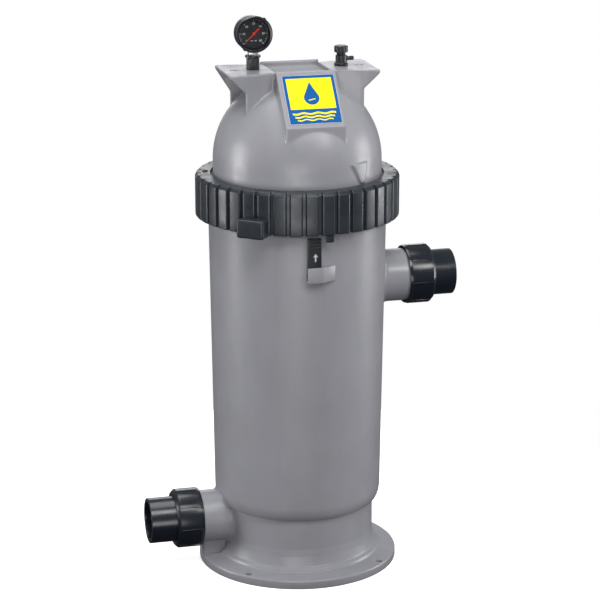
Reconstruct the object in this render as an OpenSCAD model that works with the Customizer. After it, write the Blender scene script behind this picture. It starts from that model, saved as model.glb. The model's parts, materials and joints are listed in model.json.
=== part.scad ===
// Cartridge filter for pool water: a moulded tank with a domed lid that a
// threaded lock ring holds down, a pleated cartridge inside, two pipe unions,
// a pressure gauge and an air relief valve.
// The origin is the centre of the base's underside. +X points at the inlet,
// -Y at the front and +Z up. Every part is drawn where it sits when shut.

/* [Tank] */
// Radius of the base flange
base_r = 160; // [150:1:170]
// Thickness of the base flange at its rim
base_t = 14; // [12:1:16]
// Radius of the skirt above the base flange
skirt_r = 122; // [118:1:124]
// Height at which the skirt meets the rounded tank bottom
skirt_top_z = 101; // [98:1:104]
// Height at which the straight tank wall starts
wall_z = 126; // [122:1:130]
// Outside radius at the bottom of the straight wall
wall_low_r = 133.6; // [132:0.2:135]
// Outside radius at the top of the straight wall
wall_top_r = 140; // [139:0.2:141]
// Wall thickness of the mouldings
wall_t = 5.5; // [4:0.5:6]
// Height of the tank's rim, where the lid's flange rests
rim_z = 621; // [618:1:624]
// Circle on which the four base holes lie
bolt_circle_d = 304; // [292:1:306]
// Radius of each base hole
bolt_hole_r = 4.5; // [4:0.5:5.5]

/* [Unions] */
// Height of the inlet's axis
inlet_z = 461; // [440:1:480]
// Height of the outlet's axis
outlet_z = 78; // [76:1:80]
// Distance from the tank's axis to the front face of the inlet's nut
inlet_face_x = 218; // [212:1:224]
// Distance from the tank's axis to the front face of the outlet's nut
outlet_face_x = 207; // [205:1:215]
// Distance from the tank's axis to the end of the inlet tailpiece
inlet_end_x = 255; // [250:1:262]
// Distance from the tank's axis to the end of the outlet tailpiece
outlet_end_x = 248; // [244:1:254]
// Outside radius of the grey pipe stubs
stub_r = 42; // [41:0.5:42.5]
// Outside radius of a union nut between its ridges
nut_r = 47.5; // [47:0.5:49]
// Length of a union nut
nut_len = 43; // [41:1:45]
// Outside radius of a tailpiece, which fits a 2.5 inch pipe socket
tail_r = 36.5; // [36.4:0.05:36.6]
// Socket radius in a tailpiece, which takes a 2 inch pipe
socket_r = 30.15; // [30.1:0.05:30.3]
// Depth of the pipe socket
socket_len = 36; // [30:1:37]

/* [Lid] */
// Outside radius of the lid's dome
dome_r = 132.3; // [131:0.1:133]
// Height of the dome's centre
dome_z = 662; // [660:1:664]
// Radius of the lid's flange, under the lock ring
lid_flange_r = 148; // [147:0.5:148.5]
// Height of the flat top of the lid
top_z = 804.5; // [803:0.5:806]
// Half length of the lid's top plate, towards each port
plate_x = 119.5; // [116:0.5:122]
// Half width of the lid's top plate at its ends
plate_y = 54; // [50:1:56]
// Half width of the label blocks
block_x = 47; // [45:1:49]
// Distance from the axis to the foot of a label block's sloping face
block_y = 116; // [112:1:118]
// Height of the foot of the sloping face
block_foot_z = 732; // [728:1:736]
// Width of the label, which is 3 mm taller than it is wide
label_side = 82; // [70:1:84]

/* [Lock ring] */
// Radius of the lock ring over its grip pads
ring_r = 160.4; // [159:0.2:161]
// Height of the lock ring's lower edge
ring_z0 = 574; // [573:1:576]
// Height of the lock ring's upper face
ring_z1 = 640; // [639:1:641]
// Number of grip pads round the ring
pad_count = 40; // [32:4:48]
// Depth of the grooves between the pads
groove_depth = 3.8; // [3:0.2:4.2]
// Distance from the axis to the outer face of a ring handle
handle_out_r = 181; // [176:1:184]

/* [Gauge] */
// Distance of the gauge and of the air valve from the axis
gauge_x = 70.5; // [68:0.5:73]
// Outside radius of the gauge
gauge_r = 28.5; // [28:0.5:30]
// Height of the gauge's centre
gauge_z = 860.5; // [858:0.5:862]

/* [Cartridge] */
// Outside radius of the cartridge's end caps
cart_r = 113.5; // [110:0.5:114]
// Height of the underside of the lower end cap
cart_z0 = 112; // [111:1:114]
// Height of the top of the upper end cap
cart_z1 = 610; // [600:1:612]
// Number of pleats in the filter medium
pleat_count = 84; // [60:2:96]

/* [Hidden] */

$fn = 96;
cut = 0.5; // overshoot of a cutting solid past the face it cuts

grey = "#8f9094";
black = "#17191c";
ring_black = "#2b2f34";
seal_black = "#1c1c1c";

// Tank
floor_z0 = 8;
floor_z1 = 16;
foot_in_r = 112;
skirt_in_r = skirt_r - wall_t;
neck_r = 145.5;
neck_in_r = 133.5;
gland_r = 139.5;
gland_half = 3.5;
o_ring_r = 2.9;
tank_thread_r = 149;
ring_thread_r = 149.6;
ring_in_r = 153.4;
thread_z = [583, 593, 603];
stub_bore_r = 31;

// Unions, measured from the nut's front face, outwards positive
tail_flange_r = 41.3;
tail_flange_z0 = -12;
tail_flange_z1 = -6.2;
tail_bore_r = 26;
tail_step_z = 1; // the tailpiece is a little thinner inside the nut
stub_end = -12.2;
stub_thread_r = 43.4;
stub_neck_r = 41.2;
nut_in_r = 44.4;
nut_thread_r = 42.4;
nut_lip_z = -6;
nut_pitch = 6;
union_seal_r = 36;
union_seal_section = 2;
nut_ridges = 8;
ridge_phase = -5;

// Latch on the front of the tank
latch_x0 = -21;
latch_x1 = 0.5;
latch_front_y = -147;
latch_t = 3.2;
latch_top_z = 566;
latch_pin_y = -143.3;
latch_pin_z = 507;
latch_pin_r = 1.5;
bracket_z0 = 497;
bracket_z1 = 521;

// Lid
lid_in_r = dome_r - wall_t;
lid_seat_z = rim_z + 0.2;
lid_flange_z1 = 634;
skirt_plug_r = 133;
skirt_plug_z = 607;
port_bore_r = 6.5;
plate_end_t = 5;
slope_top_y = 52;
slope_top_z = top_z + 2.5;
slope_len = norm([block_y - slope_top_y, slope_top_z - block_foot_z]);
slope_angle = atan2(slope_top_z - block_foot_z, block_y - slope_top_y);
label_t = 0.6;
label_shift = 1.5;

// Air relief valve
spout_r = 3.5;

// Lock ring
lip_in_r = 136.4;
lip_z0 = 634.4;
pad_pitch = 360 / pad_count;
groove_phase = -1.5; // from the front towards the inlet side
groove_w = 4.6;
handle_angle = -38; // from the front towards the outlet side
handle_w = 44;
handle_z1 = 600;
eyelet_angle = -105;
eyelet_r = 145;

// Elbow under the cartridge
elbow_r = 30.7;
elbow_bore_r = 25;
spigot_r = 33;
cap_bore_r = 33.4;
spigot_top_z = 130;

// Cartridge
cap_t = 12;
core_r = 37;
core_in_r = 33.6;
top_bore_r = 14;
band_z = [205, 361, 517];

// Points along an arc about [cx, cy], from angle a0 to a1 in n steps
function arc(cx, cy, r, a0, a1, n) = [
    for (i = [0 : n])
        let (a = a0 + (a1 - a0) * i / n)
            [cx + r * cos(a), cy + r * sin(a)]
];

module tube(r_out, r_in, z0, z1) {
    difference() {
        translate([0, 0, z0]) cylinder(r = r_out, h = z1 - z0);
        translate([0, 0, z0 - cut]) cylinder(r = r_in, h = z1 - z0 + 2 * cut);
    }
}

module torus(big_r, section_r) {
    rotate_extrude() translate([big_r, 0]) circle(r = section_r, $fn = 40);
}

// A ring whose section is a trapezoid, standing on radius r0 up to r1
module thread_ring(r0, r1, z, half_foot, half_crest) {
    rotate_extrude()
        polygon([
            [r0, z - half_foot],
            [r1, z - half_crest],
            [r1, z + half_crest],
            [r0, z + half_foot]
        ]);
}

// A rectangle with round corners, as one flat outline
module rounded_rect(w, d, r) {
    square([w - 2 * r, d], center = true);
    square([w, d - 2 * r], center = true);
    for (sx = [-1, 1], sy = [-1, 1])
        translate([sx * (w / 2 - r), sy * (d / 2 - r)]) circle(r = r, $fn = 32);
}

// Places a union's local frame: +Z outwards from the nut's front face
module at_inlet() {
    translate([inlet_face_x, 0, inlet_z]) rotate([0, 90, 0]) children();
}

module at_outlet() {
    translate([-outlet_face_x, 0, outlet_z]) rotate([0, -90, 0]) children();
}

// ---------- Tank ----------

tank_profile = concat(
    [[0, floor_z0], [foot_in_r - 2, floor_z0], [foot_in_r, floor_z0 - 2], [foot_in_r, 0]],
    [[base_r - 1, 0], [base_r, 1]],
    arc(base_r - 3, base_t - 3, 3, 0, 90, 5),
    [[131, 17.5]],
    arc(131, 19.5, 2, -90, 0, 4),
    arc(130, 21.5, 3, 0, 80, 4),
    [[skirt_r + 3.2, 26.5], [skirt_r + 1.4, 32], [skirt_r, 46], [skirt_r, skirt_top_z - 2]],
    [for (i = [0 : 10])
        let (a = 90 * i / 10)
            [
                skirt_r + (wall_low_r - skirt_r) * sin(a),
                wall_z - (wall_z - skirt_top_z) * cos(a)
            ]],
    [[wall_top_r, 562], [wall_top_r, 567], [neck_r, 571], [neck_r, rim_z - 0.8]],
    [[neck_r - 0.8, rim_z], [neck_in_r + 0.8, rim_z], [neck_in_r, rim_z - 0.8]],
    [[neck_in_r, 596], [wall_top_r - wall_t, 590], [wall_top_r - wall_t, 562]],
    [[wall_low_r - wall_t, wall_z]],
    [[skirt_in_r, skirt_top_z + 4], [skirt_in_r, floor_z1 + 10]],
    arc(skirt_in_r - 10, floor_z1 + 10, 10, 0, -90, 5),
    [[0, floor_z1]]
);

module stub(length) {
    // Local frame of a union: +Z outwards, 0 at the nut's front face
    translate([0, 0, -length]) cylinder(r = stub_r, h = length - nut_len + 1);
    translate([0, 0, -nut_len]) cylinder(r = stub_neck_r, h = nut_len + stub_end);
    for (i = [0 : 3])
        thread_ring(stub_neck_r - 0.5, stub_thread_r, -34 + nut_pitch * i, 1.4, 0.7);
}

module stub_bore(length) {
    translate([0, 0, -length]) cylinder(r = stub_bore_r, h = length);
    difference() {
        translate([0, 0, stub_end - 4.2]) cylinder(r = union_seal_r + 2.4, h = 5);
        translate([0, 0, stub_end - 5]) cylinder(r = union_seal_r - 2.4, h = 6);
    }
}

// A web under the outlet stub carries it on the base flange
module outlet_foot() {
    translate([-159, -11, base_t - 1]) cube([31, 22, outlet_z - stub_r - base_t + 8]);
}

// The latch's pocket: a plate in front, a floor, and a ramp on its right
module latch_bracket() {
    difference() {
        translate([0, 0, bracket_z0])
            linear_extrude(bracket_z1 - bracket_z0)
                polygon([[-21.5, -150], [2.5, -150], [25, -137.5], [10, -134], [-21.5, -134]]);
        translate([-24, -147.3, bracket_z0 + 3])
            cube([25, 7.6, bracket_z1 - bracket_z0]);
    }
}

module drain_stub() {
    translate([0, 112, 52]) rotate([-90, 0, 0]) cylinder(r = 19, h = 23.5);
    for (y = [127, 131])
        translate([0, y, 52]) rotate([-90, 0, 0]) cylinder(r = 20, h = 1.6);
}

module tank_shell() color(grey) difference() {
    union() {
        rotate_extrude($fn = 180) polygon(tank_profile);
        for (z = thread_z) thread_ring(neck_r - 0.5, tank_thread_r, z, 2.4, 1);
        difference() {
            at_inlet() stub(inlet_face_x - 100);
            translate([0, 0, inlet_z - 60]) cylinder(r = wall_top_r - wall_t - 2, h = 120);
        }
        difference() {
            union() {
                at_outlet() stub(outlet_face_x - 100);
                outlet_foot();
                drain_stub();
            }
            translate([0, 0, floor_z1 + 1]) cylinder(r = skirt_in_r + 2, h = skirt_top_z + 4);
        }
        latch_bracket();
    }
    at_inlet() stub_bore(inlet_face_x - 100);
    at_outlet() stub_bore(outlet_face_x - 100);
    translate([0, 100, 52]) rotate([-90, 0, 0]) cylinder(r = 13, h = 40);
    // Gland for the lid's seal
    tube(gland_r + gland_half, gland_r - gland_half, rim_z - 6, rim_z + 1);
    for (a = [45 : 90 : 315])
        rotate([0, 0, a])
            translate([bolt_circle_d / 2, 0, -cut]) cylinder(r = bolt_hole_r, h = 40, $fn = 40);
    translate([-2, latch_pin_y, latch_pin_z])
        rotate([0, 90, 0]) cylinder(r = latch_pin_r + 0.02, h = 9, $fn = 40);
}

module latch_pin() color("silver")
    translate([latch_x0 + 0.5, latch_pin_y, latch_pin_z])
        rotate([0, 90, 0]) cylinder(r = latch_pin_r, h = 6.5 - latch_x0, $fn = 40);

// A flat tongue with a knuckle at its foot and grip bars near its tip
module safety_latch() color(black) difference() {
    union() {
        translate([latch_x0, latch_front_y, latch_pin_z - 3])
            cube([latch_x1 - latch_x0, latch_t, latch_top_z - latch_pin_z + 3]);
        translate([latch_x0, latch_pin_y, latch_pin_z])
            rotate([0, 90, 0]) cylinder(r = 3, h = latch_x1 - latch_x0, $fn = 40);
        for (z = [551, 556, 561])
            translate([latch_x0 + 1.5, latch_front_y - 1.2, z])
                cube([latch_x1 - latch_x0 - 3, 1.7, 2.2]);
    }
    translate([latch_x0 - 1, latch_pin_y, latch_pin_z])
        rotate([0, 90, 0]) cylinder(r = latch_pin_r + 0.05, h = 30, $fn = 40);
}

module tank_o_ring() color(seal_black)
    translate([0, 0, rim_z - 3]) torus(gland_r, o_ring_r);

// Carries clean water from the cartridge's core to the outlet
module outlet_elbow() color(grey) difference() {
    union() {
        translate([-160, 0, outlet_z]) rotate([0, 90, 0]) cylinder(r = elbow_r, h = 160);
        translate([0, 0, outlet_z]) sphere(r = elbow_r);
        translate([0, 0, outlet_z]) cylinder(r = elbow_r, h = 30);
        translate([0, 0, floor_z1 + 0.1]) cylinder(r = 22, h = outlet_z - floor_z1 - 20);
        translate([0, 0, 103]) cylinder(r = 52, h = 8.8);
        translate([0, 0, 104]) cylinder(r = spigot_r, h = spigot_top_z - 104);
    }
    translate([-161, 0, outlet_z]) rotate([0, 90, 0]) cylinder(r = elbow_bore_r, h = 161);
    translate([0, 0, outlet_z]) sphere(r = elbow_bore_r);
    difference() {
        translate([0, 0, outlet_z]) cylinder(r = elbow_bore_r, h = 60);
        translate([0, 0, 50]) cylinder(r = 9, h = 20);
    }
    tube(spigot_r + 2, spigot_r - 3.6, 119, 123);
    translate([0, 0, 58]) cylinder(r = 6.1, h = 20, $fn = 48);
}

module spigot_o_ring() color(seal_black)
    translate([0, 0, 121]) torus(spigot_r - 1.75, 1.75);

module breather_tube() color("white") tube(6, 4, 58.1, 700);

// A slotted cup on top of the breather tube
module breather_strainer() color("white") difference() {
    union() {
        translate([0, 0, 688]) cylinder(r = 9, h = 14);
        translate([0, 0, 702]) cylinder(r = 11, h = 26);
        translate([0, 0, 728]) cylinder(r1 = 11, r2 = 7, h = 4);
    }
    translate([0, 0, 687]) cylinder(r = 6.1, h = 13.1);
    translate([0, 0, 700]) cylinder(r = 4, h = 4);
    translate([0, 0, 703]) cylinder(r = 9, h = 23);
    for (a = [0 : 30 : 150])
        rotate([0, 0, a]) translate([-12, -0.9, 706]) cube([24, 1.8, 17]);
}

// ---------- Unions ----------

module tailpiece(end) difference() {
    union() {
        translate([0, 0, tail_step_z]) cylinder(r = tail_r, h = end - tail_step_z);
        translate([0, 0, tail_flange_z0]) cylinder(r = tail_r - 0.5, h = end - tail_flange_z0 - 1);
        translate([0, 0, tail_flange_z0])
            cylinder(r = tail_flange_r, h = tail_flange_z1 - tail_flange_z0);
    }
    translate([0, 0, end - socket_len]) cylinder(r = socket_r, h = socket_len + cut);
    translate([0, 0, tail_flange_z0 - cut])
        cylinder(r = tail_bore_r, h = end - tail_flange_z0);
}

nut_profile = [
    [nut_in_r, -nut_len], [nut_r - 1.3, -nut_len], [nut_r - 0.7, -nut_len + 1],
    [nut_r - 0.7, -nut_len + 3.4], [nut_r, -nut_len + 4], [nut_r, -4.5],
    [nut_r - 0.5, -3.6], [nut_r - 4, 0], [tail_r + 0.6, 0],
    [tail_r + 0.6, nut_lip_z], [nut_in_r, nut_lip_z]
];

// The ridges' phase is the angle of the first one, from the front upwards
module union_nut(phase) {
    rotate_extrude() polygon(nut_profile);
    for (i = [0 : 2])
        thread_ring(nut_in_r + 0.5, nut_thread_r, -31 + nut_pitch * i, 1.4, 0.7);
    for (i = [0 : nut_ridges - 1])
        rotate([0, 0, phase + 360 / nut_ridges * i])
            translate([nut_r - 1, -1.1, -nut_len + 4.5])
                cube([2.3, 2.2, nut_len - 10]);
}

module union_seal() {
    translate([0, 0, stub_end - 2.05]) torus(union_seal_r, union_seal_section);
}

module inlet_tailpiece() color(black)
    at_inlet() tailpiece(inlet_end_x - inlet_face_x);
module outlet_tailpiece() color(black)
    at_outlet() tailpiece(outlet_end_x - outlet_face_x);
module inlet_union_nut() color(black) at_inlet() union_nut(-90 - ridge_phase);
module outlet_union_nut() color(black) at_outlet() union_nut(-90 + ridge_phase);
module inlet_union_o_ring() color(seal_black) at_inlet() union_seal();
module outlet_union_o_ring() color(seal_black) at_outlet() union_seal();

// ---------- Drain ----------

module drain_cap() color(black)
    translate([0, 0, 52]) rotate([-90, 0, 0]) difference() {
        union() {
            translate([0, 0, 126.5]) cylinder(r = 24, h = 15);
            translate([0, 0, 141]) cylinder(r1 = 23, r2 = 21, h = 3);
            translate([-18, -3, 143]) cube([36, 6, 9]);
            for (i = [0 : 15])
                rotate([0, 0, 22.5 * i]) translate([23, -1.5, 127.5]) cube([2.2, 3, 13]);
        }
        translate([0, 0, 126]) cylinder(r = 20.5, h = 12.6);
    }

module drain_seal() color(seal_black)
    translate([0, 0, 52]) rotate([-90, 0, 0]) tube(18.5, 13.5, 135.6, 138.4);

// ---------- Lock ring ----------

lock_ring_profile = concat(
    [[ring_in_r, ring_z0], [ring_r - 1.5, ring_z0], [ring_r, ring_z0 + 1.5]],
    arc(ring_r - 4, ring_z1 - 4, 4, 0, 90, 5),
    [[lip_in_r + 0.8, ring_z1], [lip_in_r, ring_z1 - 0.8], [lip_in_r, lip_z0]],
    [[ring_in_r, lip_z0]]
);

// One of two blocks that a hand or a lever turns the ring by
module ring_handle() {
    translate([0, -(ring_in_r + handle_out_r + 1) / 2, ring_z0 - 2.5])
        linear_extrude(handle_z1 - ring_z0 + 2.5)
            rounded_rect(handle_w, handle_out_r - ring_in_r - 1, 4);
}

module ring_groove() {
    translate([-groove_w / 2, -ring_r - 1, ring_z0 - cut])
        cube([groove_w, groove_depth + 1, ring_z1 - ring_z0 + 1]);
}

module lock_ring() color(ring_black) {
    difference() {
        rotate_extrude($fn = 180) polygon(lock_ring_profile);
        for (i = [0 : pad_count - 1])
            rotate([0, 0, groove_phase + pad_pitch * i]) ring_groove();
        rotate([0, 0, eyelet_angle]) translate([0, -eyelet_r, ring_z1 - 8]) cylinder(r = 2.2, h = 12, $fn = 32);
    }
    for (z = thread_z) thread_ring(ring_in_r + 0.6, ring_thread_r, z + 5, 2.4, 1);
    for (a = [handle_angle, handle_angle + 180]) rotate([0, 0, a]) ring_handle();
    rotate([0, 0, eyelet_angle]) translate([0, -eyelet_r, 0]) tube(4.6, 2.2, ring_z1 - 1, ring_z1 + 1.6);
    // The stop that comes up against the latch when the ring is tight
    rotate([0, 0, 4.2]) translate([-6, -157, ring_z0 - 12]) cube([12, 3, 13]);
}

// ---------- Lid ----------

// Half section of the lid's outside: plug, flange, side wall and dome
module lid_outline() {
    polygon([
        [0, skirt_plug_z], [skirt_plug_r - 1, skirt_plug_z], [skirt_plug_r, skirt_plug_z + 2],
        [skirt_plug_r, lid_seat_z], [lid_flange_r, lid_seat_z], [lid_flange_r, lid_flange_z1],
        [dome_r + 2, lid_flange_z1], [dome_r, lid_flange_z1 + 2], [dome_r, dome_z],
        [0, dome_z]
    ]);
    quarter_disc(dome_r);
}

// Half section of the space inside the lid
module lid_hollow() {
    translate([0, skirt_plug_z - cut]) square([lid_in_r, dome_z - skirt_plug_z + cut]);
    quarter_disc(lid_in_r);
}

module quarter_disc(r) {
    intersection() {
        translate([0, dome_z]) circle(r = r, $fn = 180);
        translate([0, dome_z - 1]) square([r + 1, r + 2]);
    }
}

// The top plate's outline: two wings that narrow to a waist, with hollow sides
plate_outline = [
    [plate_x, plate_y - 1], [plate_x - 2, plate_y], [plate_x - 20, plate_y - 1.5],
    [78, plate_y - 5], [58, plate_y - 10], [42, plate_y - 14], [0, plate_y - 14]
];

function mirrored(points) = concat(
    points,
    [for (i = [len(points) - 2 : -1 : 0]) [-points[i][0], points[i][1]]],
    [for (i = [0 : len(points) - 1]) [-points[i][0], -points[i][1]]],
    [for (i = [len(points) - 2 : -1 : 0]) [points[i][0], -points[i][1]]]
);

// Side view of the wings: a thin plate end, undercut at 45 degrees
module wing_side_view() {
    polygon([
        [-plate_x, top_z], [plate_x, top_z], [plate_x - 0.5, top_z - plate_end_t],
        [94, 776], [94, 700], [-94, 700], [-94, 776], [0.5 - plate_x, top_z - plate_end_t]
    ]);
}

module wings() {
    intersection() {
        translate([0, 0, 700]) linear_extrude(top_z - 700) polygon(mirrored(plate_outline));
        rotate([90, 0, 0])
            translate([0, 0, -plate_y - 1])
                linear_extrude(2 * plate_y + 2) wing_side_view();
    }
}

// Side view of both label blocks, seen along X
module label_blocks() {
    rotate([90, 0, 90])
        translate([0, 0, -block_x])
            linear_extrude(2 * block_x)
                polygon([
                    [-slope_top_y, slope_top_z], [-block_y, block_foot_z], [-block_y, 680],
                    [block_y, 680], [block_y, block_foot_z], [slope_top_y, slope_top_z],
                    [slope_top_y - 4, slope_top_z], [slope_top_y - 6, top_z - 8],
                    [6 - slope_top_y, top_z - 8], [4 - slope_top_y, slope_top_z]
                ]);
}

// A raised pointer on the lid's side that shows how the lid lines up
module align_mark() {
    intersection() {
        tube(dome_r + 3.2, dome_r - 2, 640.6, 673);
        rotate([0, 0, 31.5])
            translate([0, -120, 0])
                rotate([90, 0, 0])
                    linear_extrude(30)
                        polygon([[-17, 672], [17, 672], [10.5, 641], [2, 641]]);
    }
}

module lid_shell() color(grey) difference() {
    union() {
        rotate_extrude($fn = 180) lid_outline();
        wings();
        label_blocks();
        align_mark();
    }
    rotate_extrude($fn = 180) lid_hollow();
    for (sx = [-1, 1])
        translate([sx * gauge_x, 0, 740]) cylinder(r = port_bore_r, h = 80, $fn = 48);
    // Open space between the two label blocks' lips
    translate([0, 0, top_z - 8])
        linear_extrude(30) square([2 * block_x - 6, 2 * (slope_top_y - 8)], center = true);
}

module label_plate() color("gold")
    translate([0, -slope_top_y, slope_top_z])
        rotate([slope_angle, 0, 0])
            translate([label_shift, -slope_len / 2, 0.02])
                linear_extrude(label_t) square([label_side, label_side + 3], center = true);

// ---------- Gauge ----------

module at_gauge() {
    // Local frame: +Z towards the front, 0 in the plane of the stem
    translate([-gauge_x, 0, gauge_z]) rotate([90, 0, 0]) children();
}

module gauge_adaptor() color(black) translate([-gauge_x, 0, 0]) difference() {
    union() {
        translate([0, 0, 778]) cylinder(r = port_bore_r - 0.1, h = 27);
        translate([0, 0, top_z + 0.05]) cylinder(r = 10.2, h = 20);
        translate([0, 0, top_z + 18.5]) cylinder(r = 12.2, h = 4);
    }
    translate([0, 0, 777]) cylinder(r = 2.5, h = 60, $fn = 32);
    translate([0, 0, top_z + 9]) cylinder(r = 6.1, h = 20, $fn = 48);
}

module gauge_stem() color("gold") translate([-gauge_x, 0, 0]) difference() {
    union() {
        translate([0, 0, top_z + 9.1]) cylinder(r = 6, h = 14, $fn = 48);
        translate([-7, -7, top_z + 23]) cube([14, 14, gauge_z - gauge_r - top_z - 23.2]);
        translate([0, 0, gauge_z - gauge_r + 1]) cylinder(r = 3.9, h = 8, $fn = 40);
        translate([-5, -3, gauge_z - gauge_r + 7.5]) cube([10, 7, 6]);
    }
    translate([0, 0, top_z + 9]) cylinder(r = 1.5, h = 30, $fn = 24);
}

module gauge_case() color(black) difference() {
    at_gauge() union() {
        translate([0, 0, -12]) cylinder(r = gauge_r - 0.9, h = 22.5);
        translate([0, 0, -13]) cylinder(r = gauge_r - 3, h = 2);
    }
    at_gauge() translate([0, 0, -10.4]) cylinder(r = gauge_r - 2.6, h = 25);
    translate([-gauge_x, 0, gauge_z - gauge_r - 2]) cylinder(r = 4.4, h = 8, $fn = 40);
}

module gauge_bezel() color(black) at_gauge() difference() {
    union() {
        translate([0, 0, 10.6]) cylinder(r = gauge_r, h = 3.4);
        translate([0, 0, 13.9]) cylinder(r1 = gauge_r, r2 = gauge_r - 1.6, h = 1.2);
        for (a = [56, 236])
            rotate([0, 0, a]) translate([gauge_r - 1, -2.5, 10.6]) cube([2.2, 5, 3.2]);
    }
    translate([0, 0, 10]) cylinder(r = gauge_r - 2.4, h = 3.2);
    translate([0, 0, 10]) cylinder(r = gauge_r - 4.2, h = 6);
}

module gauge_lens() color([0.85, 0.9, 0.95, 0.35])
    at_gauge() translate([0, 0, 11.5]) cylinder(r = gauge_r - 2.5, h = 1.6);

module gauge_dial() color("black") at_gauge() difference() {
    translate([0, 0, 5]) cylinder(r = gauge_r - 2.7, h = 0.8);
    translate([0, 0, 4]) cylinder(r = 1.6, h = 3, $fn = 32);
}

// The pointer lies at its rest value, low on the left
module gauge_needle() color("red") at_gauge() difference() {
    union() {
        translate([0, 0, 7.2]) cylinder(r = 2.6, h = 1.4, $fn = 40);
        rotate([0, 0, 225])
            translate([0, 0, 7.4])
                linear_extrude(0.6) polygon([[-11.5, -1.5], [-11.5, 1.5], [2, 1.3], [17.5, 0.4], [17.5, -0.4], [2, -1.3]]);
    }
    translate([0, 0, 6]) cylinder(r = 1.05, h = 2.2, $fn = 32);
}

module gauge_arbor() color("gold") at_gauge()
    union() {
        translate([0, 0, -1]) cylinder(r = 1, h = 9.1, $fn = 32);
        translate([0, 0, -1]) cylinder(r = 4.5, h = 1.2, $fn = 40);
    }

module bourdon_tube() color("gold") at_gauge()
    translate([0, 0, -5.6]) rotate([0, 0, -60]) rotate_extrude(angle = 260)
        translate([18, 0]) circle(r = 2.1, $fn = 32);

// ---------- Air relief valve ----------

module air_valve_body() color(black) translate([gauge_x, 0, 0]) difference() {
    union() {
        translate([0, 0, 780]) cylinder(r = port_bore_r - 0.1, h = 25);
        translate([0, 0, top_z + 0.05]) cylinder(r = 10.8, h = 4.5);
        translate([0, 0, top_z + 4]) cylinder(r = 8.65, h = 12.5);
        translate([0, 0, top_z + 11]) rotate([0, 90, 0]) {
            cylinder(r = 4.4, h = 10, $fn = 40);
            cylinder(r = 3.1, h = 19, $fn = 40);
            translate([0, 0, 11]) cylinder(r = spout_r, h = 9, $fn = 40);
        }
    }
    translate([0, 0, 779]) cylinder(r = 2.6, h = 30, $fn = 32);
    translate([0, 0, top_z + 5]) cylinder(r = 4.1, h = 20, $fn = 40);
    translate([3, 0, top_z + 11]) rotate([0, 90, 0]) cylinder(r = 1.8, h = 20, $fn = 32);
}

module air_valve_knob() color(black) translate([gauge_x, 0, 0]) {
    translate([0, 0, top_z + 7]) cylinder(r = 4.05, h = 15, $fn = 40);
    translate([0, 0, top_z + 18.5]) cylinder(r = 7.2, h = 3.5);
    translate([0, 0, top_z + 21]) cylinder(r = 10.1, h = 9.8);
    translate([0, 0, top_z + 30.7]) cylinder(r1 = 10, r2 = 9, h = 0.9);
    for (i = [0 : 17])
        rotate([0, 0, 20 * i])
            translate([10, 0, top_z + 21.4]) cylinder(r = 0.95, h = 8.8, $fn = 24);
}

module air_valve_o_ring() color(seal_black)
    translate([gauge_x, 0, top_z + 17.5]) torus(6, 0.9);

// ---------- Cartridge ----------

module cartridge_media() color("white")
    difference() {
        translate([0, 0, cart_z0 + cap_t + 0.05])
            linear_extrude(cart_z1 - cart_z0 - 2 * cap_t - 0.1)
                polygon([
                    for (i = [0 : 2 * pleat_count - 1])
                        let (r = (i % 2 == 0) ? cart_r - 2.2 : 56, a = 180 * i / pleat_count)
                            [r * cos(a), r * sin(a)]
                ]);
        translate([0, 0, cart_z0]) cylinder(r = core_r + 0.1, h = cart_z1);
    }

module cartridge_core() color("white") difference() {
    tube(core_r, core_in_r, cart_z0 + cap_t + 0.05, cart_z1 - cap_t - 0.05);
    for (row = [0 : 5], a = [0, 60, 120])
        rotate([0, 0, a])
            translate([-core_r - 2, -6, cart_z0 + 34 + 74 * row])
                cube([2 * core_r + 4, 12, 56]);
}

module cartridge_top_cap() color("steelblue") difference() {
    union() {
        tube(cart_r, top_bore_r, cart_z1 - cap_t, cart_z1);
        tube(24, top_bore_r, cart_z1 - 1, cart_z1 + 5);
    }
    tube(cart_r - 12, cart_r - 34, cart_z1 - 5, cart_z1 + 1);
}

module cartridge_bottom_cap() color("steelblue")
    tube(cart_r, cap_bore_r, cart_z0, cart_z0 + cap_t);

module cartridge_bands() color("white")
    for (z = band_z) tube(cart_r - 1.1, cart_r - 2, z - 6, z + 6);

tank_shell();
latch_pin();
safety_latch();
tank_o_ring();
outlet_elbow();
spigot_o_ring();
breather_tube();
breather_strainer();
inlet_tailpiece();
inlet_union_nut();
inlet_union_o_ring();
outlet_tailpiece();
outlet_union_nut();
outlet_union_o_ring();
drain_cap();
drain_seal();
lock_ring();
lid_shell();
label_plate();
gauge_adaptor();
gauge_stem();
gauge_case();
gauge_bezel();
gauge_lens();
gauge_dial();
gauge_needle();
gauge_arbor();
bourdon_tube();
air_valve_body();
air_valve_knob();
air_valve_o_ring();
cartridge_media();
cartridge_core();
cartridge_top_cap();
cartridge_bottom_cap();
cartridge_bands();
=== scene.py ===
"""Looks for the cartridge filter: smooth mouldings, print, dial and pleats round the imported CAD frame.

Every length below is in millimetres, in the CAD's own frame, and turns into metres as a mesh is made.
"""

import json
import math
import random

import bmesh
import bpy
from mathutils import Matrix, Vector


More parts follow.
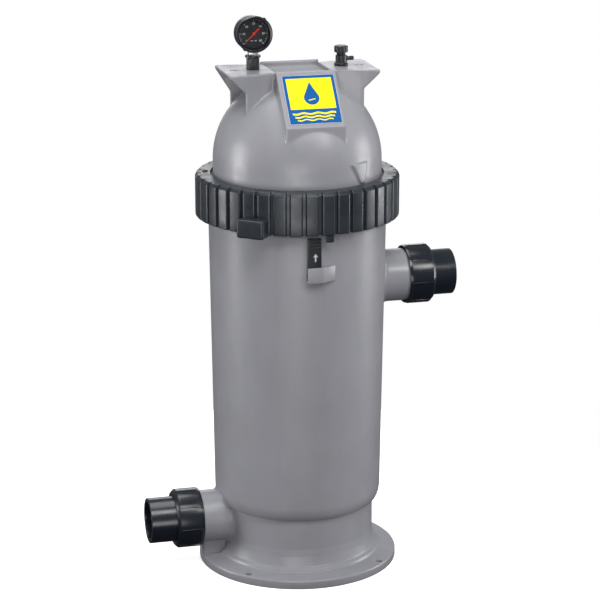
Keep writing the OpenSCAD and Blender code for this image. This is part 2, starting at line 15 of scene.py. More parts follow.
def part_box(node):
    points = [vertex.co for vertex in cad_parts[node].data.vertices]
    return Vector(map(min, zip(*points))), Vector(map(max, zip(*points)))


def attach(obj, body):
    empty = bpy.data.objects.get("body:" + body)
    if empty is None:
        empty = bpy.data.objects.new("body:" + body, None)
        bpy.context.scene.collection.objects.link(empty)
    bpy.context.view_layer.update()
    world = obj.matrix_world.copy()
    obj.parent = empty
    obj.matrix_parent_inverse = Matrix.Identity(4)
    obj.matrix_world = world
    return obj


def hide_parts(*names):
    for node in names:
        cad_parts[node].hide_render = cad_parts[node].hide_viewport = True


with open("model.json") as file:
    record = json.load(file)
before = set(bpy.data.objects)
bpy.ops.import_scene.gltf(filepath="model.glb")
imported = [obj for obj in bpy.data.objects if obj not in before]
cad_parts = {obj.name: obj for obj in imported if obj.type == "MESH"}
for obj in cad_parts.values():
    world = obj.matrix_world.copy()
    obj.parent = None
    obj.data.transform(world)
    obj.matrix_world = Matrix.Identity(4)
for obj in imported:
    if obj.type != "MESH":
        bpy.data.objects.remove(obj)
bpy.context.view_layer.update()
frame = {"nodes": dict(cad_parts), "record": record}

MM = 0.001
SMOOTH_ANGLE = math.radians(32)
nodes = frame["nodes"]
mounts = {m["name"]: m for m in frame["record"]["mounts"]}


# ---------- Sizes ----------

def node_span(node, axis):
    """Lowest and highest coordinate of a CAD node along an axis, in mm."""
    lo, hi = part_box(node)
    return lo[axis] / MM, hi[axis] / MM


X, Y, Z = 0, 1, 2

# Tank
BASE_R = node_span("tank_shell", Y)[1]
BASE_T = 14.0
SKIRT_R = 122.0
SKIRT_TOP_Z = 101.0
WALL_Z = 126.0
WALL_LOW_R = 133.6
WALL_TOP_R = 140.0
WALL_TOP_Z = 562.0
WALL_T = 5.5
NECK_R = 145.5
NECK_IN_R = 133.5
THREAD_R = 149.0
THREAD_HEIGHTS = (583, 593, 603)
RIM_Z = node_span("tank_shell", Z)[1]
BOLT_CIRCLE_R = mounts["base_bolts"]["dims"]["pcd_mm"] / 2
BOLT_HOLE_R = mounts["base_bolts"]["dims"]["hole_r_mm"]

# Unions and drain
INLET_Z = mounts["inlet_socket"]["pos_m"][Z] / MM
OUTLET_Z = mounts["outlet_socket"]["pos_m"][Z] / MM
INLET_FACE_X = node_span("inlet_union_nut", X)[1]
OUTLET_FACE_X = -node_span("outlet_union_nut", X)[0]
INLET_END = node_span("inlet_tailpiece", X)[1] - INLET_FACE_X
OUTLET_END = -node_span("outlet_tailpiece", X)[0] - OUTLET_FACE_X
SOCKET_R = mounts["inlet_socket"]["dims"]["r_mm"]
SOCKET_LEN = mounts["inlet_socket"]["dims"]["length_mm"]
TAIL_R = mounts["inlet_spigot"]["dims"]["r_mm"]
STUB_R = 42.0
STUB_BORE_R = 31.0
NUT_R = 47.5
NUT_LEN = 43.0
DRAIN_Z = 52.0

# Lock ring and latch
RING_R = 160.4
RING_Z0 = 574.0
RING_Z1 = 640.0
PAD_COUNT = 40
GROOVE_PHASE = -1.5
LIP_IN_R = 136.4
HANDLE_ANGLES = (-38, 142)
EYELET_ANGLE = -105
EYELET_R = 145.0

LATCH_PIN_Y = -143.3
LATCH_PIN_Z = 507.0
LATCH_PIN_R = 1.5

# Lid and label
DOME_R = 132.3
DOME_Z = 662.0
TOP_Z = 804.5
LID_FLANGE_R = 148.0
LID_FLANGE_Z1 = 634.0
PLATE_X = 119.5
BLOCK_X = 47.0
BLOCK_Y = 116.0
BLOCK_FOOT_Z = 732.0
SLOPE_TOP_Y = 52.0
SLOPE_TOP_Z = TOP_Z + 2.5
LABEL_SIDE = 82.0
LABEL_SHIFT = 1.5

# Gauge and air relief valve, which stands as far to the other side. The dial's height is in the gauge's frame.
GAUGE_X = 70.5
GAUGE_R = 28.5
GAUGE_Z = 860.5
DIAL_Z = 5.8

# Cartridge
CART_R = 113.5
CART_Z0, CART_Z1 = 112.0, 610.0
CAP_T = 12.0
BAND_HEIGHTS = (205, 361, 517)
PLEATS = 84


# ---------- Mesh tools ----------

def add_object(name, data):
    """A new object in the scene that shows a mesh, curve, light or camera."""
    obj = bpy.data.objects.new(name, data)
    bpy.context.scene.collection.objects.link(obj)
    return obj


def make_object(name, vertices, faces, scale=MM):
    """A mesh object from vertices in mm and faces of vertex numbers."""
    mesh = bpy.data.meshes.new(name)
    mesh.from_pydata([tuple(c * scale for c in v) for v in vertices], [], faces)
    mesh.update()
    return add_object(name, mesh)


def tidy_mesh(obj, merge=0.02):
    """Welds close points, drops loose bits and turns all faces outwards."""
    bm = bmesh.new()
    bm.from_mesh(obj.data)
    bmesh.ops.remove_doubles(bm, verts=bm.verts, dist=merge * MM)
    bmesh.ops.dissolve_degenerate(bm, edges=bm.edges, dist=merge * MM / 4)
    loose = [v for v in bm.verts if not v.link_faces]
    bmesh.ops.delete(bm, geom=loose, context="VERTS")
    bmesh.ops.recalc_face_normals(bm, faces=bm.faces)
    bm.to_mesh(obj.data)
    bm.free()
    return obj


def shade(obj, angle=SMOOTH_ANGLE):
    """Smooth shading, with edges over the angle kept sharp."""
    obj.data.shade_smooth()
    obj.data.set_sharp_from_angle(angle=angle)
    return obj


def evaluated_mesh(obj):
    """A new mesh of what an object's modifiers, or its curve, make."""
    graph = bpy.context.evaluated_depsgraph_get()
    graph.update()
    return bpy.data.meshes.new_from_object(obj.evaluated_get(graph))


def evaluated(obj):
    """Replaces the mesh by what its modifiers make of it."""
    mesh = evaluated_mesh(obj)
    obj.modifiers.clear()
    obj.data = mesh
    return obj


def remove(obj):
    bpy.data.objects.remove(obj, do_unlink=True)


def boolean(target, tools, operation):
    """Adds or cuts each tool from the target, then removes the tools."""
    for tool in tools:
        step = target.modifiers.new("boolean", "BOOLEAN")
        step.operation = operation
        step.solver = "EXACT"
        step.object = tool
        evaluated(target)
        remove(tool)
    return target


def join(target, others):
    """Puts the other objects' meshes into the target's."""
    bm = bmesh.new()
    bm.from_mesh(target.data)
    for other in others:
        part = other.data.copy()
        part.transform(target.matrix_world.inverted() @ other.matrix_world)
        bm.from_mesh(part)
        remove(other)
    bm.to_mesh(target.data)
    bm.free()
    return target


def transformed(obj, matrix):
    """Moves the mesh itself. The matrix is in mm."""
    metres = matrix.copy()
    metres.translation = matrix.translation * MM
    obj.data.transform(metres)
    if metres.determinant() < 0:
        obj.data.flip_normals()
    obj.data.update()
    return obj


def bevelled(obj, width, segments=3, angle=30):
    step = obj.modifiers.new("bevel", "BEVEL")
    step.width = width * MM
    step.segments = segments
    step.limit_method = "ANGLE"
    step.angle_limit = math.radians(angle)
    step.harden_normals = False
    return evaluated(obj)


def arc(cx, cy, r, a0, a1, steps):
    """Points along an arc about (cx, cy), from a0 to a1 degrees."""
    out = []
    for i in range(steps + 1):
        a = math.radians(a0 + (a1 - a0) * i / steps)
        out.append((cx + r * math.cos(a), cy + r * math.sin(a)))
    return out


def rounded(corners, steps=4):
    """A closed outline whose corners (x, y, radius) are turned into arcs."""
    out = []
    count = len(corners)
    for i, (x, y, r) in enumerate(corners):
        here = Vector((x, y))
        back = Vector(corners[i - 1][:2]) - here
        on = Vector(corners[(i + 1) % count][:2]) - here
        angle = back.angle(on) if back.length and on.length else math.pi
        if r <= 0 or angle > math.radians(179):
            out.append((x, y))
            continue
        trim = min(r / math.tan(angle / 2), back.length * 0.49, on.length * 0.49)
        radius = trim * math.tan(angle / 2)
        middle = (back.normalized() + on.normalized()).normalized()
        centre = here + middle * (radius / math.sin(angle / 2))
        first = here + back.normalized() * trim - centre
        last = here + on.normalized() * trim - centre
        turn = math.atan2(first.x * last.y - first.y * last.x, first.dot(last))
        for k in range(steps + 1):
            a = turn * k / steps
            out.append((centre.x + first.x * math.cos(a) - first.y * math.sin(a),
                        centre.y + first.x * math.sin(a) + first.y * math.cos(a)))
    return out


def lathe(name, outline, segments=96, reach=None):
    """Turns a closed outline of (radius, z) points about Z.

    reach(radius, z, angle) may return another radius, for lobes and pads.
    """
    vertices, rows = [], []
    for r, z in outline:
        if r < 1e-6:
            rows.append([len(vertices)] * segments)
            vertices.append((0, 0, z))
            continue
        row = []
        for i in range(segments):
            a = 2 * math.pi * i / segments
            radius = reach(r, z, a) if reach else r
            row.append(len(vertices))
            vertices.append((radius * math.cos(a), radius * math.sin(a), z))
        rows.append(row)
    faces = []
    for a, b in zip(rows, rows[1:] + rows[:1]):
        for i in range(segments):
            j = (i + 1) % segments
            face = [a[i], a[j], b[j], b[i]]
            face = [v for n, v in enumerate(face) if v != face[n - 1]]
            if len(face) > 2:
                faces.append(face)
    return tidy_mesh(make_object(name, vertices, faces), merge=0.002)


def prism(name, outline, z0, z1):
    """A straight prism over a closed outline of (x, y) points."""
    count = len(outline)
    vertices = [(x, y, z) for z in (z0, z1) for x, y in outline]
    faces = [list(range(count))[::-1], list(range(count, 2 * count))]
    faces += [[i, (i + 1) % count, count + (i + 1) % count, count + i] for i in range(count)]
    return tidy_mesh(make_object(name, vertices, faces))


def block(name, lo, hi, round_by=0.0, segments=3):
    """A box between two corners, with its edges rounded."""
    outline = [(lo[0], lo[1]), (hi[0], lo[1]), (hi[0], hi[1]), (lo[0], hi[1])]
    made = prism(name, outline, lo[2], hi[2])
    return bevelled(made, round_by, segments) if round_by else made


def rod(name, r, z0, z1, segments=64, round_by=0.0):
    outline = rounded([(0, z0, 0), (r, z0, round_by), (r, z1, round_by), (0, z1, 0)])
    return lathe(name, outline, segments)


def turn(axis, degrees):
    return Matrix.Rotation(math.radians(degrees), 4, axis)


def shift(x, y, z):
    return Matrix.Translation((x, y, z))


# A union's own frame has +Z outwards and its origin at the nut's front face.
AT_INLET = shift(INLET_FACE_X, 0, INLET_Z) @ turn("Y", 90)
AT_OUTLET = shift(-OUTLET_FACE_X, 0, OUTLET_Z) @ turn("Y", -90)
# The gauge's own frame has +Z towards the front.
AT_GAUGE = shift(-GAUGE_X, 0, GAUGE_Z) @ turn("X", 90)
# The drain's own frame has +Z towards the back.
AT_DRAIN = shift(0, 0, DRAIN_Z) @ turn("X", -90)
# The latch pin's own frame has +Z along the pin.
AT_LATCH_PIN = shift(0, LATCH_PIN_Y, LATCH_PIN_Z) @ turn("Y", 90)
# The eyelet's own frame is upright, with its origin below the eyelet at the height of the tank's foot.
AT_EYELET = turn("Z", EYELET_ANGLE) @ shift(0, -EYELET_R, 0)


# ---------- Materials ----------

def make_node(tree, kind, **values):
    """A shader node whose inputs take the values. An underscore stands for a space in an input's name."""
    made = tree.nodes.new(kind)
    for name, value in values.items():
        made.inputs[name.replace("_", " ")].default_value = value
    return made


class Shader:
    """A Principled material and short ways to feed it."""

    def __init__(self, name, roughness=0.5, metallic=0.0, colour=(0.5, 0.5, 0.5)):
        self.material = bpy.data.materials.new(name)
        self.material.use_nodes = True
        self.tree = self.material.node_tree
        self.bsdf = self.tree.nodes["Principled BSDF"]
        self.bsdf.inputs["Roughness"].default_value = roughness
        self.bsdf.inputs["Metallic"].default_value = metallic
        self.bsdf.inputs["Base Color"].default_value = (*colour, 1)
        self.coordinates = self.tree.nodes.new("ShaderNodeTexCoord")
        self.last_normal = None

    def node(self, kind, **values):
        return make_node(self.tree, kind, **values)

    def link(self, a, b):
        self.tree.links.new(a, b)

    def stretched(self, scale):
        """Object coordinates in metres, stretched along each axis."""
        made = self.node("ShaderNodeMapping", Scale=scale)
        self.link(self.coordinates.outputs["Object"], made.inputs["Vector"])
        return made.outputs["Vector"]

    def noise(self, scale, detail=3.0, roughness=0.5, stretch=(1, 1, 1)):
        made = self.node("ShaderNodeTexNoise", Scale=scale, Detail=detail, Roughness=roughness)
        self.link(self.stretched(stretch), made.inputs["Vector"])
        return made.outputs["Fac"]

    def ramp(self, source, stops):
        made = self.tree.nodes.new("ShaderNodeValToRGB")
        elements = made.color_ramp.elements
        while len(elements) < len(stops):
            elements.new(0.5)
        for element, (position, colour) in zip(elements, stops):
            element.position = position
            element.color = (*colour, 1)
        self.link(source, made.inputs["Fac"])
        return made.outputs["Color"]

    def mix(self, a, b, factor, blend="MIX"):
        made = self.tree.nodes.new("ShaderNodeMix")
        made.data_type = "RGBA"
        made.blend_type = blend
        self.link(a, made.inputs["A"])
        self.link(b, made.inputs["B"])
        if isinstance(factor, (int, float)):
            made.inputs["Factor"].default_value = factor
        else:
            self.link(factor, made.inputs["Factor"])
        return made.outputs["Result"]

    def scaled(self, source, low, high):
        """Maps a noise, which mostly lies between 0.3 and 0.7, onto low to high."""
        made = self.node("ShaderNodeMapRange", From_Min=0.3, From_Max=0.7, To_Min=low, To_Max=high)
        self.link(source, made.inputs["Value"])
        return made.outputs["Result"]

    def colour_from(self, source):
        self.link(source, self.bsdf.inputs["Base Color"])

    def roughness_from(self, source):
        self.link(source, self.bsdf.inputs["Roughness"])

    def bump(self, source, height_mm, strength=1.0):
        made = self.node("ShaderNodeBump", Strength=strength, Distance=height_mm * MM)
        self.link(source, made.inputs["Height"])
        if self.last_normal is not None:
            self.link(self.last_normal, made.inputs["Normal"])
        self.last_normal = made.outputs["Normal"]
        self.link(self.last_normal, self.bsdf.inputs["Normal"])


def tint(colour, gain):
    return tuple(min(1.0, c * gain) for c in colour)


def moulded_plastic(name, colour, roughness, grain_mm=0.03, grain_scale=900, mottle=0.07,
                    streak=(1, 1, 0.15), rough_spread=0.08):
    """Moulded plastic: clouded colour, faint flow streaks, pebbled skin and uneven gloss."""
    s = Shader(name, roughness, colour=colour)
    cloud = s.noise(9, 4, 0.55)
    flow = s.noise(60, 3, 0.6, streak)
    base = s.ramp(cloud, [(0.3, tint(colour, 1 - mottle)), (0.7, tint(colour, 1 + mottle))])
    lines = s.ramp(flow, [(0.25, (0.95, 0.95, 0.95)), (0.75, (1, 1, 1))])
    s.colour_from(s.mix(base, lines, 1.0, "MULTIPLY"))
    s.roughness_from(s.scaled(s.noise(35, 4, 0.6), roughness - rough_spread, roughness + rough_spread))
    s.bump(s.noise(grain_scale, 2, 0.5), grain_mm)
    s.bump(s.noise(28, 2, 0.4), grain_mm * 4, 0.5)
    return s.material


def make_materials():
    made = {}
    made["grey"] = moulded_plastic("grey_moulding", (0.262, 0.262, 0.284), 0.36, 0.022, 1100, 0.035)
    made["ring"] = moulded_plastic("ring_moulding", (0.019, 0.024, 0.031), 0.36, 0.03, 700, 0.16,
                                   (1, 1, 0.12), 0.1)
    made["black"] = moulded_plastic("black_moulding", (0.012, 0.014, 0.017), 0.36, 0.02, 1200, 0.12)
    made["gloss"] = moulded_plastic("black_gloss", (0.009, 0.012, 0.018), 0.22, 0.006, 900, 0.12,
                                    (1, 1, 0.15), 0.05)
    made["rubber"] = moulded_plastic("seal_rubber", (0.012, 0.012, 0.012), 0.62, 0.02, 1500, 0.1)
    made["white"] = moulded_plastic("white_plastic", (0.62, 0.63, 0.62), 0.4, 0.015, 900, 0.04)
    made["cap"] = moulded_plastic("end_cap_urethane", (0.035, 0.12, 0.33), 0.5, 0.05, 500, 0.1)
    made["lip_print"] = moulded_plastic("arrow_print", (0.55, 0.56, 0.58), 0.5, 0.01, 1500, 0.05)
    made["print_blue"] = moulded_plastic("label_blue", (0.0005, 0.092, 0.32), 0.4, 0.004, 1500, 0.05)
    made["print_yellow"] = moulded_plastic("label_yellow", (0.92, 0.78, 0.012), 0.28, 0.004, 1500, 0.04)
    made["dial"] = moulded_plastic("dial_black", (0.009, 0.010, 0.012), 0.5, 0.004, 2500, 0.1)
    made["dial_marks"] = moulded_plastic("dial_marks", (0.66, 0.67, 0.68), 0.5, 0.004, 2500, 0.05)
    made["needle"] = moulded_plastic("needle_enamel", (0.72, 0.03, 0.02), 0.35, 0.003, 2500, 0.08)
    made["nickel"] = metal("nickel_plate", (0.90, 0.89, 0.87), 0.42)
    made["brass"] = metal("bare_brass", (0.72, 0.50, 0.20), 0.3)
    made["steel"] = metal("stainless_steel", (0.55, 0.55, 0.56), 0.3)
    for ink in ("print_blue", "print_yellow"):
        made[ink].node_tree.nodes["Principled BSDF"].inputs["Specular IOR Level"].default_value = 0.15
    made["felt"] = filter_felt()
    made["window"] = clear_window()
    return made


def metal(name, colour, roughness):
    """Machined metal: fine turned lines and a light tarnish."""
    s = Shader(name, roughness, 1.0, colour)
    tarnish = s.noise(120, 4, 0.6)
    s.colour_from(s.ramp(tarnish, [(0.3, tint(colour, 0.8)), (0.7, colour)]))
    s.roughness_from(s.scaled(s.noise(400, 3, 0.6, (1, 1, 8)), roughness * 0.7, roughness * 1.4))
    s.bump(s.noise(900, 2, 0.5, (1, 1, 12)), 0.01)
    return s.material


def filter_felt():
    """Spun polyester felt, with a faint grid where the fibres are bonded."""
    colour = (0.70, 0.73, 0.76)
    s = Shader("filter_felt", 0.9, colour=colour)
    fibre = s.noise(1600, 6, 0.75, (1, 1, 0.35))
    stain = s.noise(14, 3, 0.6)
    base = s.ramp(fibre, [(0.3, tint(colour, 0.82)), (0.7, tint(colour, 1.08))])
    wash = s.ramp(stain, [(0.3, (0.9, 0.91, 0.93)), (0.7, (1, 1, 1))])
    s.colour_from(s.mix(base, wash, 1.0, "MULTIPLY"))
    dots = s.node("ShaderNodeTexVoronoi", Scale=420)
    s.link(s.stretched((1, 1, 1)), dots.inputs["Vector"])
    s.bump(dots.outputs["Distance"], 0.12, 0.6)
    s.bump(fibre, 0.08)
    s.bsdf.inputs["Sheen Weight"].default_value = 0.25
    s.bsdf.inputs["Sheen Roughness"].default_value = 0.5
    return s.material


def clear_window():
    """A clear cover that lets the dial show and still catches the lights."""
    s = Shader("clear_window", 0.06, colour=(0.02, 0.02, 0.025))
    s.bsdf.inputs["Alpha"].default_value = 0.1
    s.roughness_from(s.scaled(s.noise(300, 3, 0.5), 0.03, 0.07))
    s.bump(s.noise(20, 2, 0.4), 0.01)
    return s.material


def place(obj, body, material, slot, *replaced):
    """Says where a piece rides, what it is made of and which CAD nodes it stands for."""
    obj.data.materials.clear()
    obj.data.materials.append(material)
    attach(obj, body)
    if replaced:
        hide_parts(*replaced)
    return obj


# ---------- Tank ----------

def tank_radius(z):
    """Outside radius of the tank at a height, between the base and the neck."""
    if z < SKIRT_TOP_Z:
        return SKIRT_R
    if z < WALL_Z:
        down = (WALL_Z - z) / (WALL_Z - SKIRT_TOP_Z)
        return SKIRT_R + (WALL_LOW_R - SKIRT_R) * math.sqrt(max(0.0, 1 - down * down))
    return WALL_LOW_R + (WALL_TOP_R - WALL_LOW_R) * (z - WALL_Z) / (WALL_TOP_Z - WALL_Z)


def tank_outline():
    """Half section of the tank, outside upwards and inside downwards."""
    foot = rounded([
        (0, 8, 0), (112, 8, 2), (112, 0, 1), (BASE_R, 0, 1.2), (BASE_R, BASE_T, 3.2),
        (132.5, 17.2, 2.5), (131.5, 21.5, 2.8), (125.5, 24.2, 3), (123, 40, 6), (SKIRT_R, 52, 4),
        (SKIRT_R, SKIRT_TOP_Z, 0),
    ], 4)
    shoulder = []
    for i in range(13):
        a = math.radians(90 * i / 12)
        shoulder.append((SKIRT_R + (WALL_LOW_R - SKIRT_R) * math.sin(a),
                         WALL_Z - (WALL_Z - SKIRT_TOP_Z) * math.cos(a)))
    wall = [(tank_radius(z), z) for z in range(150, int(WALL_TOP_Z), 24)]
    neck = rounded([
        (WALL_TOP_R, WALL_TOP_Z, 0), (WALL_TOP_R, 567, 1), (NECK_R, 571, 1), (NECK_R, RIM_Z, 1),
        (143, RIM_Z, 0.8), (143, RIM_Z - 6, 0.5), (136, RIM_Z - 6, 0.5), (136, RIM_Z, 0.8),
        (NECK_IN_R, RIM_Z, 1), (NECK_IN_R, 596, 2), (WALL_TOP_R - WALL_T, 590, 2),
        (WALL_TOP_R - WALL_T, WALL_TOP_Z, 0), (WALL_LOW_R - WALL_T, WALL_Z, 6),
        (SKIRT_R - WALL_T, SKIRT_TOP_Z + 4, 6), (SKIRT_R - WALL_T, 16, 10), (0, 16, 0),
    ], 3)
    return foot + shoulder[1:] + wall + neck


def thread_ring(name, z, r_in, r_out, half_foot, half_crest):
    outline = rounded([(r_in, z - half_foot, 0), (r_out, z - half_crest, 0.4),
                       (r_out, z + half_crest, 0.4), (r_in, z + half_foot, 0)], 3)
    return lathe(name, outline, 192)


def flared_stub(name, axis_z, side, face_x, fillet):
    """A pipe stub along X whose root flares out onto the tank's wall.

    side is +1 or -1. The end hidden in the nut carries the thread's core.
    """
    steps_round = 120

    def wall(rho, i):
        a = 2 * math.pi * i / steps_round
        return math.sqrt(tank_radius(axis_z + rho * math.sin(a)) ** 2 - (rho * math.cos(a)) ** 2)

    sections = [[(r, x)] * steps_round for r, x in (
        (STUB_BORE_R, face_x - 12.2), (41.2, face_x - 12.2), (41.2, face_x - NUT_LEN - 1),
        (STUB_R - 0.6, face_x - NUT_LEN - 1), (STUB_R, face_x - NUT_LEN - 1.6))]
    steps = 8
    for k in range(steps + 1):
        phi = math.radians(84 * k / steps)
        rho = STUB_R + fillet * (1 - math.cos(phi))
        sections.append([(rho, wall(rho, i) + fillet * (1 - math.sin(phi))) for i in range(steps_round)])
    sections.append([(rho, x - 3) for rho, x in sections[-1]])
    sections.append([(STUB_BORE_R, wall(STUB_BORE_R, i) - 3) for i in range(steps_round)])
    vertices = []
    for section in sections:
        for i, (rho, x) in enumerate(section):
            a = 2 * math.pi * i / steps_round
            vertices.append((side * x, rho * math.cos(a), axis_z + rho * math.sin(a)))
    faces = []
    for row in range(len(sections)):
        here, on = row * steps_round, (row + 1) % len(sections) * steps_round
        for i in range(steps_round):
            j = (i + 1) % steps_round
            faces.append([here + i, here + j, on + j, on + i])
    return tidy_mesh(make_object(name, vertices, faces), 0.005)


def latch_bracket():
    outer = prism("bracket", [(-21.5, -150), (2.5, -150), (25, -138.2), (20, -134.2), (-21.5, -134.2)], 497, 521)
    bevelled(outer, 0.9, 3, 20)
    pocket = block("pocket", (-26, -147.3, 500), (1, -139.7, 525))
    return boolean(outer, [pocket], "DIFFERENCE")


def build_tank(materials):
    tank = lathe("tank_moulding", tank_outline(), 240)
    cuts = [transformed(rod("bore", STUB_BORE_R, -100, -50, 96), at) for at in (AT_INLET, AT_OUTLET)]
    cuts.append(transformed(rod("bore", 13, 100, 140, 48), AT_DRAIN))
    for k in range(4):
        a = math.radians(45 + 90 * k)
        hole = rounded([(0, -1, 0), (BOLT_HOLE_R, -1, 0), (BOLT_HOLE_R, 13, 0), (BOLT_HOLE_R + 1.2, 15.4, 0),
                        (BOLT_HOLE_R + 1.2, 30, 0), (0, 30, 0)])
        at = shift(BOLT_CIRCLE_R * math.cos(a), BOLT_CIRCLE_R * math.sin(a), 0)
        cuts.append(transformed(lathe("hole", hole, 40), at))
    boolean(tank, cuts, "DIFFERENCE")
    drain = lathe("drain", rounded([(13, 117.5, 0), (19, 117.5, 0), (19, 135.4, 0.5), (13, 135.4, 0.5)]), 64)
    parts = [
        flared_stub("inlet_stub", INLET_Z, 1, INLET_FACE_X, 7),
        flared_stub("outlet_stub", OUTLET_Z, -1, OUTLET_FACE_X, 7),
        block("web", (-159, -11, BASE_T - 2), (-119, 11, OUTLET_Z - STUB_R + 5), 1.5),
        transformed(drain, AT_DRAIN),
        latch_bracket(),
    ]
    parts += [thread_ring("thread", z, NECK_R - 0.5, THREAD_R, 2.4, 1) for z in THREAD_HEIGHTS]
    for at in (AT_INLET, AT_OUTLET):
        for i in range(4):
            ring = thread_ring("thread", -34 + 6 * i, 40.8, 43.4, 1.4, 0.7)
            parts.append(transformed(ring, at))
    join(tank, parts)
    shade(tank)
    return place(tank, "tank", materials["grey"], "grey_moulding", "tank_shell")


# ---------- Lock ring ----------

def pad_height(angle_degrees):
    """0 in a groove and 1 on a pad, with rounded shoulders."""
    pitch = 360 / PAD_COUNT
    from_groove = abs((angle_degrees - GROOVE_PHASE + pitch / 2) % pitch - pitch / 2)
    start, end = 0.85, 1.35
    t = min(1.0, max(0.0, (from_groove - start) / (end - start)))
    return math.sqrt(1 - (1 - t) ** 2)


def build_lock_ring(materials):
    segments = PAD_COUNT * 24
    groove_depth = 5.0

    def reach(r, z, a):
        from_front = math.degrees(a) + 90
        depth = min(groove_depth, max(0.0, r - (RING_R - groove_depth - 4.5)))
        if r < 150 and z < RING_Z1 - 0.1:
            return r
        return r - depth * (1 - pad_height(from_front))

    outline = rounded([
        (153.4, RING_Z0, 1), (RING_R, RING_Z0, 1.6), (RING_R, 590, 0), (RING_R, 606, 0), (RING_R, 622, 0),
        (RING_R, RING_Z1 - 4.6, 2.2), (RING_R - 4.2, RING_Z1, 1.6), (150, RING_Z1, 0),
        (LIP_IN_R, RING_Z1, 1.2), (LIP_IN_R, 634.4, 0.6), (153.4, 634.4, 0),
    ], 5)
    ring = lathe("lock_ring_moulding", outline, segments, reach)
    parts = []
    for angle in HANDLE_ANGLES:
        handle = block("handle", (-22, -181, 571.5), (22, -154.6, 600), 3.4, 5)
        parts.append(transformed(handle, turn("Z", angle)))
    parts.append(transformed(block("stop", (-6, -157, RING_Z0 - 12), (6, -154, RING_Z0 + 2), 0.6), turn("Z", 4.2)))
    eyelet = lathe("eyelet", rounded([(1.2, RING_Z1 - 2, 0), (4.6, RING_Z1 - 2, 0), (4.6, RING_Z1 + 1.6, 0.8),
                                      (2.2, RING_Z1 + 1.6, 0.6), (2.2, RING_Z1 - 1, 0)], 4), 48)
    parts.append(transformed(eyelet, AT_EYELET))
    boolean(ring, parts, "UNION")
    hole = transformed(rod("hole", 2.2, RING_Z1 - 4, RING_Z1 + 4, 32), AT_EYELET)
    boolean(ring, [hole], "DIFFERENCE")
    join(ring, [thread_ring("thread", z + 5, 154, 149.6, 2.4, 1) for z in THREAD_HEIGHTS])
    shade(tidy_mesh(ring, 0.01))
    return place(ring, "ring", materials["ring"], "ring_moulding", "lock_ring")


# ---------- Lid ----------

def plate_outline():
    """The top plate seen from above: two wings with hollow sides and a waist."""
    quarter = [(PLATE_X, 50), (PLATE_X - 0.6, 52.4), (PLATE_X - 3, 53.8), (PLATE_X - 20, 52.6),
               (88, 51), (74, 48), (60, 44.4), (46, 40.5), (36, 38), (0, 38)]
    left = [(-x, y) for x, y in quarter[-2::-1]]
    half = quarter + left
    return half + [(x, -y) for x, y in half[::-1]]


def lid_outside():
    outline = rounded([
        (0, 607, 0), (133, 607, 1.5), (133, 621.2, 0), (LID_FLANGE_R, 621.2, 1), (LID_FLANGE_R, LID_FLANGE_Z1, 1.5),
        (DOME_R, LID_FLANGE_Z1, 1.5), (DOME_R, DOME_Z, 0),
    ], 4)
    dome = arc(0, DOME_Z, DOME_R, 0, 90, 40)[1:-1] + [(0, DOME_Z + DOME_R)]
    return outline + dome


def build_wings():
    """A top plate on two webs, hollow underneath. The rear web reaches further out than the front one."""
    wings = prism("wings", plate_outline(), 700, TOP_Z)
    sides = []
    for (x, z), y0, y1 in (((94, 776), -1, 80), ((95.6, 763), -80, 1)):
        side = [(-PLATE_X - 5, TOP_Z + 5), (PLATE_X + 5, TOP_Z + 5), (PLATE_X + 5, TOP_Z - 5),
                (PLATE_X - 0.5, TOP_Z - 5), (x, z), (x, 690), (-x, 690), (-x, z), (0.5 - PLATE_X, TOP_Z - 5),
                (-PLATE_X - 5, TOP_Z - 5)]
        sides.append(transformed(prism("side", side, y0, y1), turn("X", 90)))
    boolean(wings, [boolean(sides[0], sides[1:], "UNION")], "INTERSECT")
    for sign in (-1, 1):
        hollow = [(125, 48.5), (104, 48.5), (88, 46), (74, 43), (60, 39.4), (56, 36)]
        hollow = [(sign * x, y) for x, y in hollow] + [(sign * x, -y) for x, y in hollow[::-1]]
        pocket = prism("pocket", hollow, 690, TOP_Z - 5)
        boss = rod("boss", 12, 680, TOP_Z + 5, 48)
        boolean(pocket, [transformed(boss, shift(sign * GAUGE_X, 0, 0))], "DIFFERENCE")
        boolean(wings, [pocket], "DIFFERENCE")
    return wings


def build_lid_outer():
    lid = lathe("lid_moulding", lid_outside(), 192)
    wings = build_wings()
    section = [(-SLOPE_TOP_Y, SLOPE_TOP_Z), (-BLOCK_Y, BLOCK_FOOT_Z), (-BLOCK_Y, 680), (BLOCK_Y, 680),
               (BLOCK_Y, BLOCK_FOOT_Z), (SLOPE_TOP_Y, SLOPE_TOP_Z), (SLOPE_TOP_Y - 5, SLOPE_TOP_Z),
               (SLOPE_TOP_Y - 7, TOP_Z - 8), (7 - SLOPE_TOP_Y, TOP_Z - 8), (5 - SLOPE_TOP_Y, SLOPE_TOP_Z)]
    to_side = Matrix(((0, 0, 1, 0), (1, 0, 0, 0), (0, 1, 0, 0), (0, 0, 0, 1)))
    blocks = transformed(prism("blocks", section, -BLOCK_X, BLOCK_X), to_side)
    pointer = prism("pointer", [(-17, 672), (17, 672), (10.5, 641), (2, 641)], 118, 150)
    transformed(pointer, turn("Z", 31.5) @ turn("X", 90))
    sleeve = lathe("sleeve", [(126, 640.8), (DOME_R + 3.2, 640.8), (DOME_R + 3.2, 673), (126, 673)], 192)
    boolean(pointer, [sleeve], "INTERSECT")
    boolean(lid, [wings, blocks, pointer], "UNION")
    recess = block("recess", (-BLOCK_X + 3, -44, TOP_Z - 8), (BLOCK_X - 3, 44, TOP_Z + 20))
    boolean(lid, [recess], "DIFFERENCE")
    return lid


